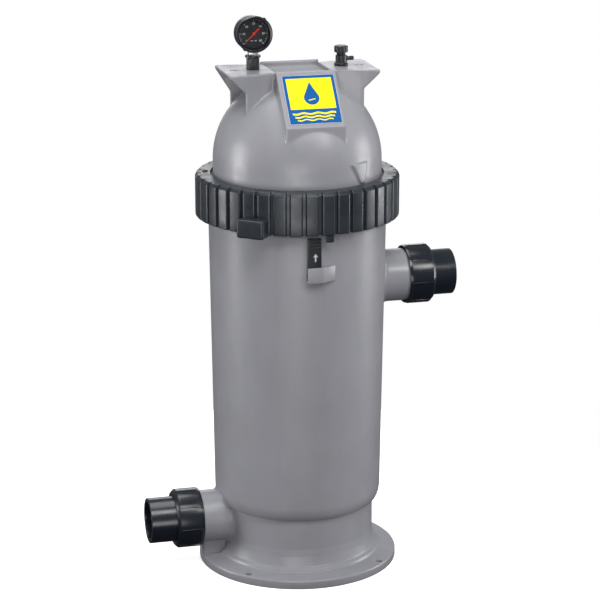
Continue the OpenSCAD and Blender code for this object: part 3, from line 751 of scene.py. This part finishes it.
def soften(obj, voxel, rounds):
    """Rounds every edge and inner corner, as a moulding's are."""
    step = obj.modifiers.new("voxels", "REMESH")
    step.mode = "VOXEL"
    step.voxel_size = voxel * MM
    step.use_smooth_shade = True
    smooth = obj.modifiers.new("smooth", "SMOOTH")
    smooth.factor = 0.5
    smooth.iterations = rounds
    return evaluated(obj)


def wing_arrows():
    """A raised arrow on each wing, one towards the inlet and one from the outlet."""
    made = []
    for x in (-100, 100):
        arrow = [(-7, -1.2), (1, -1.2), (1, -4.2), (8, 0), (1, 4.2), (1, 1.2), (-7, 1.2)]
        made.append(bevelled(prism("arrow", [(x + u, v) for u, v in arrow], TOP_Z - 0.8, TOP_Z + 0.7), 0.3, 2))
    return made


def build_lid(materials):
    lid = soften(build_lid_outer(), 1.5, 5)
    hollow_r = DOME_R - WALL_T
    inside = rounded([(0, 600, 0), (hollow_r, 600, 0), (hollow_r, DOME_Z, 0)])
    inside += arc(0, DOME_Z, hollow_r, 0, 90, 32)[1:-1] + [(0, DOME_Z + hollow_r)]
    cuts = [lathe("inside", inside, 160)]
    for x in (-GAUGE_X, GAUGE_X):
        cuts.append(transformed(rod("port", 6.5, 740, 830, 48), shift(x, 0, 0)))
    boolean(lid, cuts, "DIFFERENCE")
    join(lid, wing_arrows())
    shade(tidy_mesh(lid, 0.01), math.radians(40))
    return place(lid, "lid", materials["grey"], "grey_moulding", "lid_shell")


# ---------- Label ----------

def label_frame():
    """The label's own frame: X right, Y up the slope and Z outwards, from its centre."""
    top = Vector((0, -SLOPE_TOP_Y, SLOPE_TOP_Z))
    foot = Vector((0, -BLOCK_Y, BLOCK_FOOT_Z))
    up = (top - foot).normalized()
    across = Vector((1, 0, 0))
    out = across.cross(up)
    matrix = Matrix((across, up, out)).transposed().to_4x4()
    matrix.translation = (top + foot) / 2 + Vector((LABEL_SHIFT, 0, 0))
    return matrix


def rounded_square(half_w, half_h, r, cy=0.0):
    return rounded([(-half_w, cy - half_h, r), (half_w, cy - half_h, r), (half_w, cy + half_h, r),
                    (-half_w, cy + half_h, r)], 5)


def wave_outline(y, thickness, half_w, height, cycles):
    """A wavy band between two sine lines."""
    steps = 48
    xs = [-half_w + 2 * half_w * i / steps for i in range(steps + 1)]
    low = [(x, y - thickness / 2 + height * math.sin(cycles * math.pi * x / half_w)) for x in xs]
    high = [(x, y + thickness / 2 + height * math.sin(cycles * math.pi * x / half_w)) for x in xs]
    return low + high[::-1]


def drop_outline(cx, cy, r):
    """A water drop: a round belly and a pointed top."""
    points = arc(cx, cy, r, 200, 340, 28)
    tip = (cx, cy + 2.3 * r)
    right = arc(cx, cy, r, 340, 390, 10)[1:]
    left = arc(cx, cy, r, 150, 200, 10)[:-1]

    def flank(start, sign):
        side = Vector(start)
        middle = Vector((cx + sign * 0.42 * r, cy + 1.35 * r))
        end = Vector(tip)
        return [tuple((1 - t) ** 2 * side + 2 * t * (1 - t) * middle + t * t * end)
                for t in [k / 10 for k in range(1, 10)]]

    return points + right + flank(right[-1], 1) + [tip] + flank(left[0], -1)[::-1] + left


def build_label(materials):
    half = LABEL_SIDE / 2
    at = label_frame()
    layers = [
        ("label_backing", rounded_square(half, half + 1.5, 1.5), 0.05, 0.35, "lip_print"),
        ("label_border", rounded_square(half - 0.5, half + 1.0, 1.2), 0.3, 0.45, "print_blue"),
        ("label_field", rounded_square(half - 5.2, 27, 0.8, 10.0), 0.4, 0.55, "print_yellow"),
        ("label_drop", drop_outline(0, 2.5, 12), 0.5, 0.65, "print_blue"),
    ]
    for k, (y, width) in enumerate(((-24.5, 3.2), (-30.3, 2.6), (-35.6, 2.0))):
        layers.append((f"label_wave_{k + 1}", wave_outline(y, width, half - 7 - 3 * k, 1.1, 3), 0.4, 0.55,
                       "print_yellow"))
    layers.append(("label_glint", wave_outline(-0.5, 1.6, 5.5, 0.9, 0.5), 0.6, 0.72, "print_yellow"))
    for name, outline, z0, z1, material in layers:
        piece = shade(transformed(prism(name, outline, z0, z1), at))
        replaced = ["label_plate"] if name == "label_backing" else []
        place(piece, "lid", materials[material], "label_print", *replaced)


# ---------- Unions ----------

def build_nut(side, at, phase, materials):
    """A union's nut. side is inlet or outlet, and phase turns the ridges, in degrees."""
    outline = rounded([
        (44.4, -NUT_LEN, 0.5), (46.4, -NUT_LEN, 0.6), (46.8, -NUT_LEN + 3.6, 0.3), (NUT_R, -NUT_LEN + 4.2, 0.5),
        (NUT_R, -4.6, 1.4), (43.4, 0, 0.8), (TAIL_R + 0.6, 0, 0.5), (TAIL_R + 0.6, -6, 0.3), (44.4, -6, 0.5),
    ], 4)
    nut = lathe(f"{side}_nut_moulding", outline, 160)
    ridges = []
    for i in range(8):
        angle = phase + 45 * i
        ridge = block("ridge", (NUT_R - 1.5, -1.2, -NUT_LEN + 5), (NUT_R + 1.25, 1.2, -5), 0.55, 3)
        ridges.append(transformed(ridge, turn("Z", angle)))
    boolean(nut, ridges, "UNION")
    join(nut, [thread_ring("thread", -31 + 6 * i, 44.9, 42.4, 1.4, 0.7) for i in range(3)])
    shade(tidy_mesh(transformed(nut, at), 0.01))
    return place(nut, f"{side}_nut", materials["gloss"], "black_gloss", f"{side}_union_nut")


def build_tailpiece(side, at, end, materials):
    outline = rounded([
        (26, -12, 0.4), (41.3, -12, 0.5), (41.3, -6.2, 0.5), (TAIL_R, -6.2, 0.4), (TAIL_R, end, 0.9),
        (SOCKET_R + 0.5, end, 0.7), (SOCKET_R, end - 2, 0.5), (SOCKET_R, end - SOCKET_LEN, 0.5),
        (26, end - SOCKET_LEN, 0.8),
    ], 4)
    tail = lathe(f"{side}_tail_moulding", outline, 160)
    shade(transformed(tail, at))
    return place(tail, "tank", materials["gloss"], "black_gloss", f"{side}_tailpiece")


# ---------- Latch ----------

def build_latch(materials):
    latch = block("latch_tongue", (-21, -147, 503.9), (0.5, -143.8, 566), 0.7, 3)
    knuckle = transformed(rod("knuckle", 3, -21, 0.5, 48, 0.3), AT_LATCH_PIN)
    bars = [block("bar", (-19.3, -148.2, z), (-1.2, -146.2, z + 2.2), 0.6, 3) for z in (551, 556, 561)]
    boolean(latch, [knuckle] + bars, "UNION")
    eye = transformed(rod("eye", LATCH_PIN_R + 0.05, -30, 10, 32), AT_LATCH_PIN)
    boolean(latch, [eye], "DIFFERENCE")
    shade(tidy_mesh(latch, 0.01))
    place(latch, "latch", materials["black"], "black_moulding", "safety_latch")
    arrow = [(-1.1, 531), (1.1, 531), (1.1, 538), (3.8, 538), (0, 543.5), (-3.8, 538), (-1.1, 538)]
    mark = prism("latch_arrow", [(x - 9, z) for x, z in arrow], 146.9, 147.15)
    transformed(mark, turn("X", 90))
    place(shade(mark), "latch", materials["lip_print"], "black_moulding")


# ---------- Gauge ----------

def build_gauge(materials):
    case = lathe("gauge_can", rounded([
        (0, -13, 0), (GAUGE_R - 3, -13, 1.5), (GAUGE_R - 0.9, -11, 1.5), (GAUGE_R - 0.9, 10.5, 0.3),
        (GAUGE_R - 2.6, 10.5, 0.2), (GAUGE_R - 2.6, -10.4, 1), (0, -10.4, 0)]), 128)
    port = transformed(rod("port", 4, -GAUGE_R - 3, -GAUGE_R + 6, 32), turn("X", -90))
    boolean(case, [port], "DIFFERENCE")
    place(shade(transformed(case, AT_GAUGE)), "lid", materials["gloss"], "black_gloss", "gauge_case")

    bezel = lathe("gauge_rim", rounded([
        (GAUGE_R - 2.4, 10.6, 0), (GAUGE_R, 10.6, 0.4), (GAUGE_R, 14.2, 0.8), (GAUGE_R - 1.6, 15.1, 0.5),
        (GAUGE_R - 4.2, 14.6, 0.4), (GAUGE_R - 4.2, 13.2, 0.3), (GAUGE_R - 2.4, 13.2, 0.2)]), 160)
    lugs = [transformed(block("lug", (GAUGE_R - 1.5, -2.2, 10.8), (GAUGE_R + 1.2, 2.2, 13.6), 0.5), turn("Z", a))
            for a in (56, 236)]
    boolean(bezel, lugs, "UNION")
    shade(tidy_mesh(transformed(bezel, AT_GAUGE), 0.005))
    place(bezel, "lid", materials["gloss"], "black_gloss", "gauge_bezel")

    lens = lathe("gauge_window", [(0, 11.5), (GAUGE_R - 2.5, 11.5), (GAUGE_R - 2.5, 13.0)]
                 + [(r, 13.1 + 1.0 * (1 - (r / 24) ** 2)) for r in (24, 20, 15, 10, 5)] + [(0, 14.1)], 96)
    place(shade(transformed(lens, AT_GAUGE)), "lid", materials["window"], "clear_window", "gauge_lens")
    build_dial(materials)
    build_needle(materials)

    stem = block("gauge_neck", (-7, -7, 827.6), (7, 7, 832.6), 0.8, 3)
    shank = rod("shank", 6, 814, 829, 48, 0.5)
    spigot = rod("spigot", 3.9, 830, 841, 40, 0.4)
    boolean(stem, [shank, spigot], "UNION")
    shade(tidy_mesh(transformed(stem, shift(-GAUGE_X, 0, 0)), 0.005))
    place(stem, "lid", materials["nickel"], "plated_brass", "gauge_stem")

    def ribs(r, z, a):
        return r + 0.6 * (abs(math.cos(8 * a)) - 1) if 9 < r < 10.5 and z > TOP_Z + 1 else r

    adaptor = lathe("gauge_socket", rounded([
        (2.5, 778, 0), (6.4, 778, 0.8), (6.4, TOP_Z, 0), (10.2, TOP_Z + 0.1, 0.3), (10.2, TOP_Z + 2, 0),
        (10.2, TOP_Z + 18.2, 0.3), (12.1, TOP_Z + 19.2, 0.3), (12.1, TOP_Z + 22.4, 0.8), (6.3, TOP_Z + 22.4, 0.5),
        (6.3, TOP_Z + 9, 0.2), (2.5, TOP_Z + 9, 0)]), 160, ribs)
    shade(transformed(adaptor, shift(-GAUGE_X, 0, 0)))
    place(adaptor, "lid", materials["black"], "black_moulding", "gauge_adaptor")


def dial_bar(x0, x1, width):
    """A thin printed bar along the dial's own X."""
    outline = [(x0, -width / 2), (x1, -width / 2), (x1, width / 2), (x0, width / 2)]
    return prism("bar", outline, DIAL_Z - 0.05, DIAL_Z + 0.15)


def dial_number(text, angle, radius, height):
    """An upright numeral as a thin raised mesh."""
    curve = bpy.data.curves.new("numeral", "FONT")
    curve.body = text
    curve.size = height
    curve.align_x = "CENTER"
    curve.align_y = "CENTER"
    curve.extrude = 0.08
    curve.offset = 0.05
    maker = add_object("numeral", curve)
    mesh = evaluated_mesh(maker)
    remove(maker)
    mesh.transform(Matrix.Scale(MM, 4))
    a = math.radians(angle)
    return transformed(add_object("numeral", mesh), shift(radius * math.cos(a), radius * math.sin(a), DIAL_Z + 0.05))


def build_dial(materials):
    """A black dial whose scale runs clockwise over 270 degrees, from 0 to 60."""
    plate = lathe("dial_plate", rounded([(1.6, 5, 0), (GAUGE_R - 2.7, 5, 0), (GAUGE_R - 2.7, DIAL_Z, 0.2),
                                         (1.6, DIAL_Z, 0.1)]), 96)
    place(shade(transformed(plate, AT_GAUGE)), "lid", materials["dial"], "dial_face", "gauge_dial")
    zero, sweep, top = 225, 270, 60
    marks = []
    for value in range(top + 1):
        angle = zero - sweep * value / top
        long_mark = value % 10 == 0
        inner = 19.2 if long_mark else (20.6 if value % 5 == 0 else 21.4)
        marks.append(transformed(dial_bar(inner, 22.8, 0.7 if long_mark else 0.35), turn("Z", angle)))
    for value in range(0, top + 1, 10):
        angle = zero - sweep * value / top
        marks.append(dial_number(str(value), angle, 15.6, 4.6))
    marks += [transformed(dial_bar(x - 1.8, x + 1.8, 1), shift(0, -11, 0)) for x in (-3, 3)]
    scale = join(marks[0], marks[1:])
    scale.name = "dial_scale"
    place(shade(transformed(scale, AT_GAUGE)), "lid", materials["dial_marks"], "dial_face")


def build_needle(materials):
    outline = [(-11.5, -1.5), (2, -1.3), (17.5, -0.35), (17.5, 0.35), (2, 1.3), (-11.5, 1.5)]
    pointer = bevelled(prism("needle_blade", outline, 7.4, 8.0), 0.15, 2)
    transformed(pointer, turn("Z", 225))
    hub = lathe("hub", rounded([(0, 7.25, 0), (2.6, 7.25, 0.3), (2.6, 8.5, 0.5), (1.4, 8.9, 0.3), (0, 8.9, 0)]), 48)
    boolean(pointer, [hub], "UNION")
    shade(tidy_mesh(transformed(pointer, AT_GAUGE), 0.002))
    place(pointer, "needle", materials["needle"], "needle_red", "gauge_needle")


# ---------- Air relief valve ----------

def build_air_valve(materials):
    at = shift(GAUGE_X, 0, 0)
    body = lathe("vent_body", rounded([
        (2.6, 780, 0), (6.4, 780, 0.8), (6.4, TOP_Z, 0), (10.8, TOP_Z + 0.1, 0.5), (10.8, TOP_Z + 4, 1.2),
        (8.65, TOP_Z + 5, 0.6), (8.65, TOP_Z + 16.5, 0.8), (4.1, TOP_Z + 16.5, 0.4), (4.1, TOP_Z + 5, 0.3),
        (2.6, TOP_Z + 4, 0)]), 96)
    spout = lathe("spout", rounded([
        (0, 5, 0), (4.4, 5, 0), (4.4, 10, 0.5), (3.0, 10, 0.2), (3.0, 13.6, 0), (3.5, 14.2, 0.2), (3.05, 16.8, 0),
        (3.5, 17.4, 0.2), (2.9, 20, 0.4), (1.8, 20, 0.3), (1.8, 9, 0), (0, 9, 0)]), 48)
    boolean(body, [transformed(spout, shift(0, 0, TOP_Z + 11) @ turn("Y", 90))], "UNION")
    shade(tidy_mesh(transformed(body, at), 0.005))
    place(body, "lid", materials["black"], "black_moulding", "air_valve_body")

    def knurl(r, z, a):
        return r + 0.75 * max(0.0, math.cos(18 * a)) if r > 9.5 and TOP_Z + 21.2 < z < TOP_Z + 30.5 else r

    knob = lathe("vent_cap", rounded([
        (0, TOP_Z + 7, 0), (4.03, TOP_Z + 7, 0.4), (4.03, TOP_Z + 18.5, 0), (7.2, TOP_Z + 18.5, 0.4),
        (7.2, TOP_Z + 21, 0.3), (9.6, TOP_Z + 21, 0.5), (10.1, TOP_Z + 22, 0.4), (10.1, TOP_Z + 30, 0.8),
        (8.6, TOP_Z + 31.5, 0.8), (0, TOP_Z + 31.5, 0)]), 180, knurl)
    shade(transformed(knob, at))
    place(knob, "vent_knob", materials["black"], "black_moulding", "air_valve_knob")


# ---------- Drain ----------

def build_drain_cap(materials):
    def lobes(r, z, a):
        return r + 1.0 * max(0.0, math.cos(16 * a)) if r > 23.8 else r

    cap = lathe("drain_cap_moulding", rounded([
        (0, 138.6, 0), (20.5, 138.6, 0.4), (20.5, 126.6, 0.4), (24, 126.6, 0.6), (24, 141, 1.2), (21.5, 144, 1),
        (0, 144, 0)]), 192, lobes)
    boolean(cap, [block("wing", (-18, -3, 143), (18, 3, 151.8), 1.4, 4)], "UNION")
    shade(tidy_mesh(transformed(cap, AT_DRAIN), 0.005))
    place(cap, "drain", materials["gloss"], "black_gloss", "drain_cap")


# ---------- Cartridge ----------

def build_pleats(materials):
    """One folded sheet round the core, drawn as its two faces with rounded folds."""
    rng = random.Random(5)
    z0, z1 = CART_Z0 + CAP_T + 0.1, CART_Z1 - CAP_T - 0.1
    per_fold, rows = 8, 24
    r_out, r_in, thick = CART_R - 2.4, 45.0, 1.3
    lean = [rng.uniform(-0.25, 0.25) for _ in range(PLEATS)]
    count = PLEATS * per_fold

    def point(i, z, offset):
        fold, step = divmod(i % count, per_fold)
        t = step / per_fold
        wave = 0.5 + 0.5 * math.cos(2 * math.pi * t)
        wave = 0.5 + 0.5 * math.copysign(abs(2 * wave - 1) ** 0.55, 2 * wave - 1)
        sway = lean[fold] * math.sin(math.pi * (z - z0) / (z1 - z0)) * math.sin(3.3 * (z - z0) / (z1 - z0) + fold)
        a = 2 * math.pi * (fold + t + 0.35 * sway) / PLEATS
        r = r_in + (r_out - r_in) * wave + offset
        return (r * math.cos(a), r * math.sin(a), z)

    vertices, faces = [], []
    layers = []
    for offset in (0.0, -thick * 4):
        rows_of = []
        for k in range(rows + 1):
            z = z0 + (z1 - z0) * k / rows
            rows_of.append([len(vertices) + i for i in range(count)])
            vertices += [point(i, z, offset) for i in range(count)]
        layers.append(rows_of)
    for layer in layers:
        for k in range(rows):
            for i in range(count):
                j = (i + 1) % count
                faces.append([layer[k][i], layer[k][j], layer[k + 1][j], layer[k + 1][i]])
    for k in (0, rows):
        for i in range(count):
            j = (i + 1) % count
            faces.append([layers[0][k][i], layers[0][k][j], layers[1][k][j], layers[1][k][i]])
    pleats = tidy_mesh(make_object("pleated_sheet", vertices, faces), 0.002)
    shade(pleats, math.radians(60))
    return place(pleats, "cartridge", materials["felt"], "filter_fabric", "cartridge_media")


def build_cartridge(materials):
    build_pleats(materials)
    for name, node, outline in (
        ("upper_cap_cast", "cartridge_top_cap", [
            (14, CART_Z1 + 5, 1), (14, CART_Z1 - CAP_T, 0.5), (CART_R, CART_Z1 - CAP_T, 1.5), (CART_R, CART_Z1, 3),
            (101.5, CART_Z1, 1), (101.5, CART_Z1 - 5, 1), (79.5, CART_Z1 - 5, 1), (79.5, CART_Z1, 1),
            (24, CART_Z1, 1), (24, CART_Z1 + 5, 1)]),
        ("lower_cap_cast", "cartridge_bottom_cap", [
            (33.4, CART_Z0, 1), (CART_R, CART_Z0, 3), (CART_R, CART_Z0 + CAP_T, 1.5), (33.4, CART_Z0 + CAP_T, 0.5)]),
    ):
        cap = shade(lathe(name, rounded(outline), 160))
        place(cap, "cartridge", materials["cap"], "end_cap_plastic", node)
    bands = []
    for z in BAND_HEIGHTS:
        strip = rounded([(111.4, z - 6, 0.3), (112.4, z - 6, 0.3), (112.4, z + 6, 0.3), (111.4, z + 6, 0.3)])
        bands.append(lathe("band", strip, 160))
    band = join(bands[0], bands[1:])
    band.name = "pleat_bands"
    place(shade(band), "cartridge", materials["white"], "filter_fabric", "cartridge_bands")


# ---------- CAD nodes that are shown as they are ----------

def dress_cad_nodes(materials):
    """Gives the hidden and the simple CAD nodes their materials."""
    looks = {
        "latch_pin": "steel", "tank_o_ring": "rubber", "outlet_elbow": "grey", "spigot_o_ring": "rubber",
        "breather_tube": "white", "breather_strainer": "white", "inlet_union_o_ring": "rubber",
        "outlet_union_o_ring": "rubber", "drain_seal": "rubber", "gauge_arbor": "brass", "bourdon_tube": "brass",
        "air_valve_o_ring": "rubber", "cartridge_core": "white",
    }
    for name, look in looks.items():
        obj = nodes[name]
        for slot in obj.material_slots:
            slot.material = materials[look]


# ---------- Stage ----------

def area_light(name, location, target, size, power):
    """A white panel that faces its target. Its size is in metres and its power in watts."""
    data = bpy.data.lights.new(name, "AREA")
    data.shape = "RECTANGLE"
    data.size, data.size_y = size
    data.energy = power
    light = add_object(name, data)
    light.location = location
    light.rotation_euler = (Vector(target) - Vector(location)).to_track_quat("-Z", "Y").to_euler()


def around(azimuth, elevation, distance, centre=(0, 0, 0.45)):
    """A place round the object. Azimuth 0 is straight in front, towards +X positive."""
    a, e = math.radians(azimuth), math.radians(elevation)
    return (centre[0] + distance * math.sin(a) * math.cos(e), centre[1] - distance * math.cos(a) * math.cos(e),
            centre[2] + distance * math.sin(e))


def build_stage():
    rim = [(0.75 * math.cos(a), 0.75 * math.sin(a), 0) for a in (2 * math.pi * i / 96 for i in range(96))]
    floor = make_object("studio_floor", rim, [list(range(96))], 1.0)
    paint = Shader("floor_paint", 0.85, colour=(0.9, 0.9, 0.9))
    paint.colour_from(paint.ramp(paint.noise(0.8, 3), [(0.3, (0.9, 0.9, 0.905)), (0.7, (0.93, 0.93, 0.93))]))
    paint.bsdf.inputs["Specular IOR Level"].default_value = 0.1
    paint.bsdf.inputs["Emission Color"].default_value = (1, 1, 1, 1)
    paint.bsdf.inputs["Emission Strength"].default_value = 0.62
    floor.data.materials.append(paint.material)
    # A real studio sheet falls away from the part, so it sends little light back up
    floor.visible_diffuse = False
    floor.visible_glossy = False

    world = bpy.data.worlds.new("studio")
    bpy.context.scene.world = world
    world.use_nodes = True
    tree = world.node_tree
    tree.nodes.clear()
    path = tree.nodes.new("ShaderNodeLightPath")
    seen = make_node(tree, "ShaderNodeBackground", Color=(1, 1, 1, 1))
    fill = make_node(tree, "ShaderNodeBackground", Color=(0.93, 0.96, 1, 1))
    # The room is dimmer below the part than above it
    direction = tree.nodes.new("ShaderNodeTexCoord")
    parts = tree.nodes.new("ShaderNodeSeparateXYZ")
    height = make_node(tree, "ShaderNodeMapRange", From_Min=-0.5, From_Max=0.3, To_Min=0.04, To_Max=0.24)
    choose = tree.nodes.new("ShaderNodeMixShader")
    out = tree.nodes.new("ShaderNodeOutputWorld")
    for source, target in (
        (direction.outputs["Generated"], parts.inputs["Vector"]), (parts.outputs["Z"], height.inputs["Value"]),
        (height.outputs["Result"], fill.inputs["Strength"]), (path.outputs["Is Camera Ray"], choose.inputs["Fac"]),
        (fill.outputs["Background"], choose.inputs[1]), (seen.outputs["Background"], choose.inputs[2]),
        (choose.outputs["Shader"], out.inputs["Surface"]),
    ):
        tree.links.new(source, target)

    middle = (0, 0, 0.45)
    area_light("left_bank", around(-99, 3, 2.6), middle, (0.7, 1.3), 40)
    area_light("right_bank", around(86, 3, 2.6), middle, (1.0, 1.4), 38)
    area_light("key", around(27, 36, 3.0), middle, (0.6, 0.6), 21)
    area_light("front_low", around(-14, -1, 3.2, (0, 0, 0.2)), (0, 0, 0.25), (1.8, 1.0), 30)
    area_light("front_top", around(-5, 54, 3.0), middle, (1.6, 1.0), 46)
    area_light("overhead", (-0.2, 0.5, 2.8), (0, 0, 0.7), (1.6, 1.6), 34)
    area_light("back_fill", around(172, 12, 3.4), middle, (1.8, 1.4), 16)


# The camera's place round the object, in degrees and metres
CAMERA_AZIMUTH = -14.55
CAMERA_ELEVATION = 15.81
CAMERA_DISTANCE = 3.653
CAMERA_TARGET = (0.0043, -0.0011, 0.4297)
CAMERA_LENS = 137.5


def build_camera():
    azimuth, elevation = math.radians(CAMERA_AZIMUTH), math.radians(CAMERA_ELEVATION)
    back = Vector((math.sin(azimuth) * math.cos(elevation), -math.cos(azimuth) * math.cos(elevation),
                   math.sin(elevation)))
    data = bpy.data.cameras.new("camera")
    data.lens = CAMERA_LENS
    data.sensor_width = 36
    camera = add_object("camera", data)
    camera.location = Vector(CAMERA_TARGET) + back * CAMERA_DISTANCE
    camera.rotation_euler = (-back).to_track_quat("-Z", "Y").to_euler()
    bpy.context.scene.camera = camera


def main():
    scene = bpy.context.scene
    scene.view_settings.view_transform = "Standard"
    build_camera()
    build_stage()
    materials = make_materials()
    build_tank(materials)
    build_lock_ring(materials)
    build_lid(materials)
    build_label(materials)
    build_nut("inlet", AT_INLET, -85, materials)
    build_nut("outlet", AT_OUTLET, -95, materials)
    build_tailpiece("inlet", AT_INLET, INLET_END, materials)
    build_tailpiece("outlet", AT_OUTLET, OUTLET_END, materials)
    build_latch(materials)
    build_gauge(materials)
    build_air_valve(materials)
    build_drain_cap(materials)
    build_cartridge(materials)
    dress_cad_nodes(materials)


main()
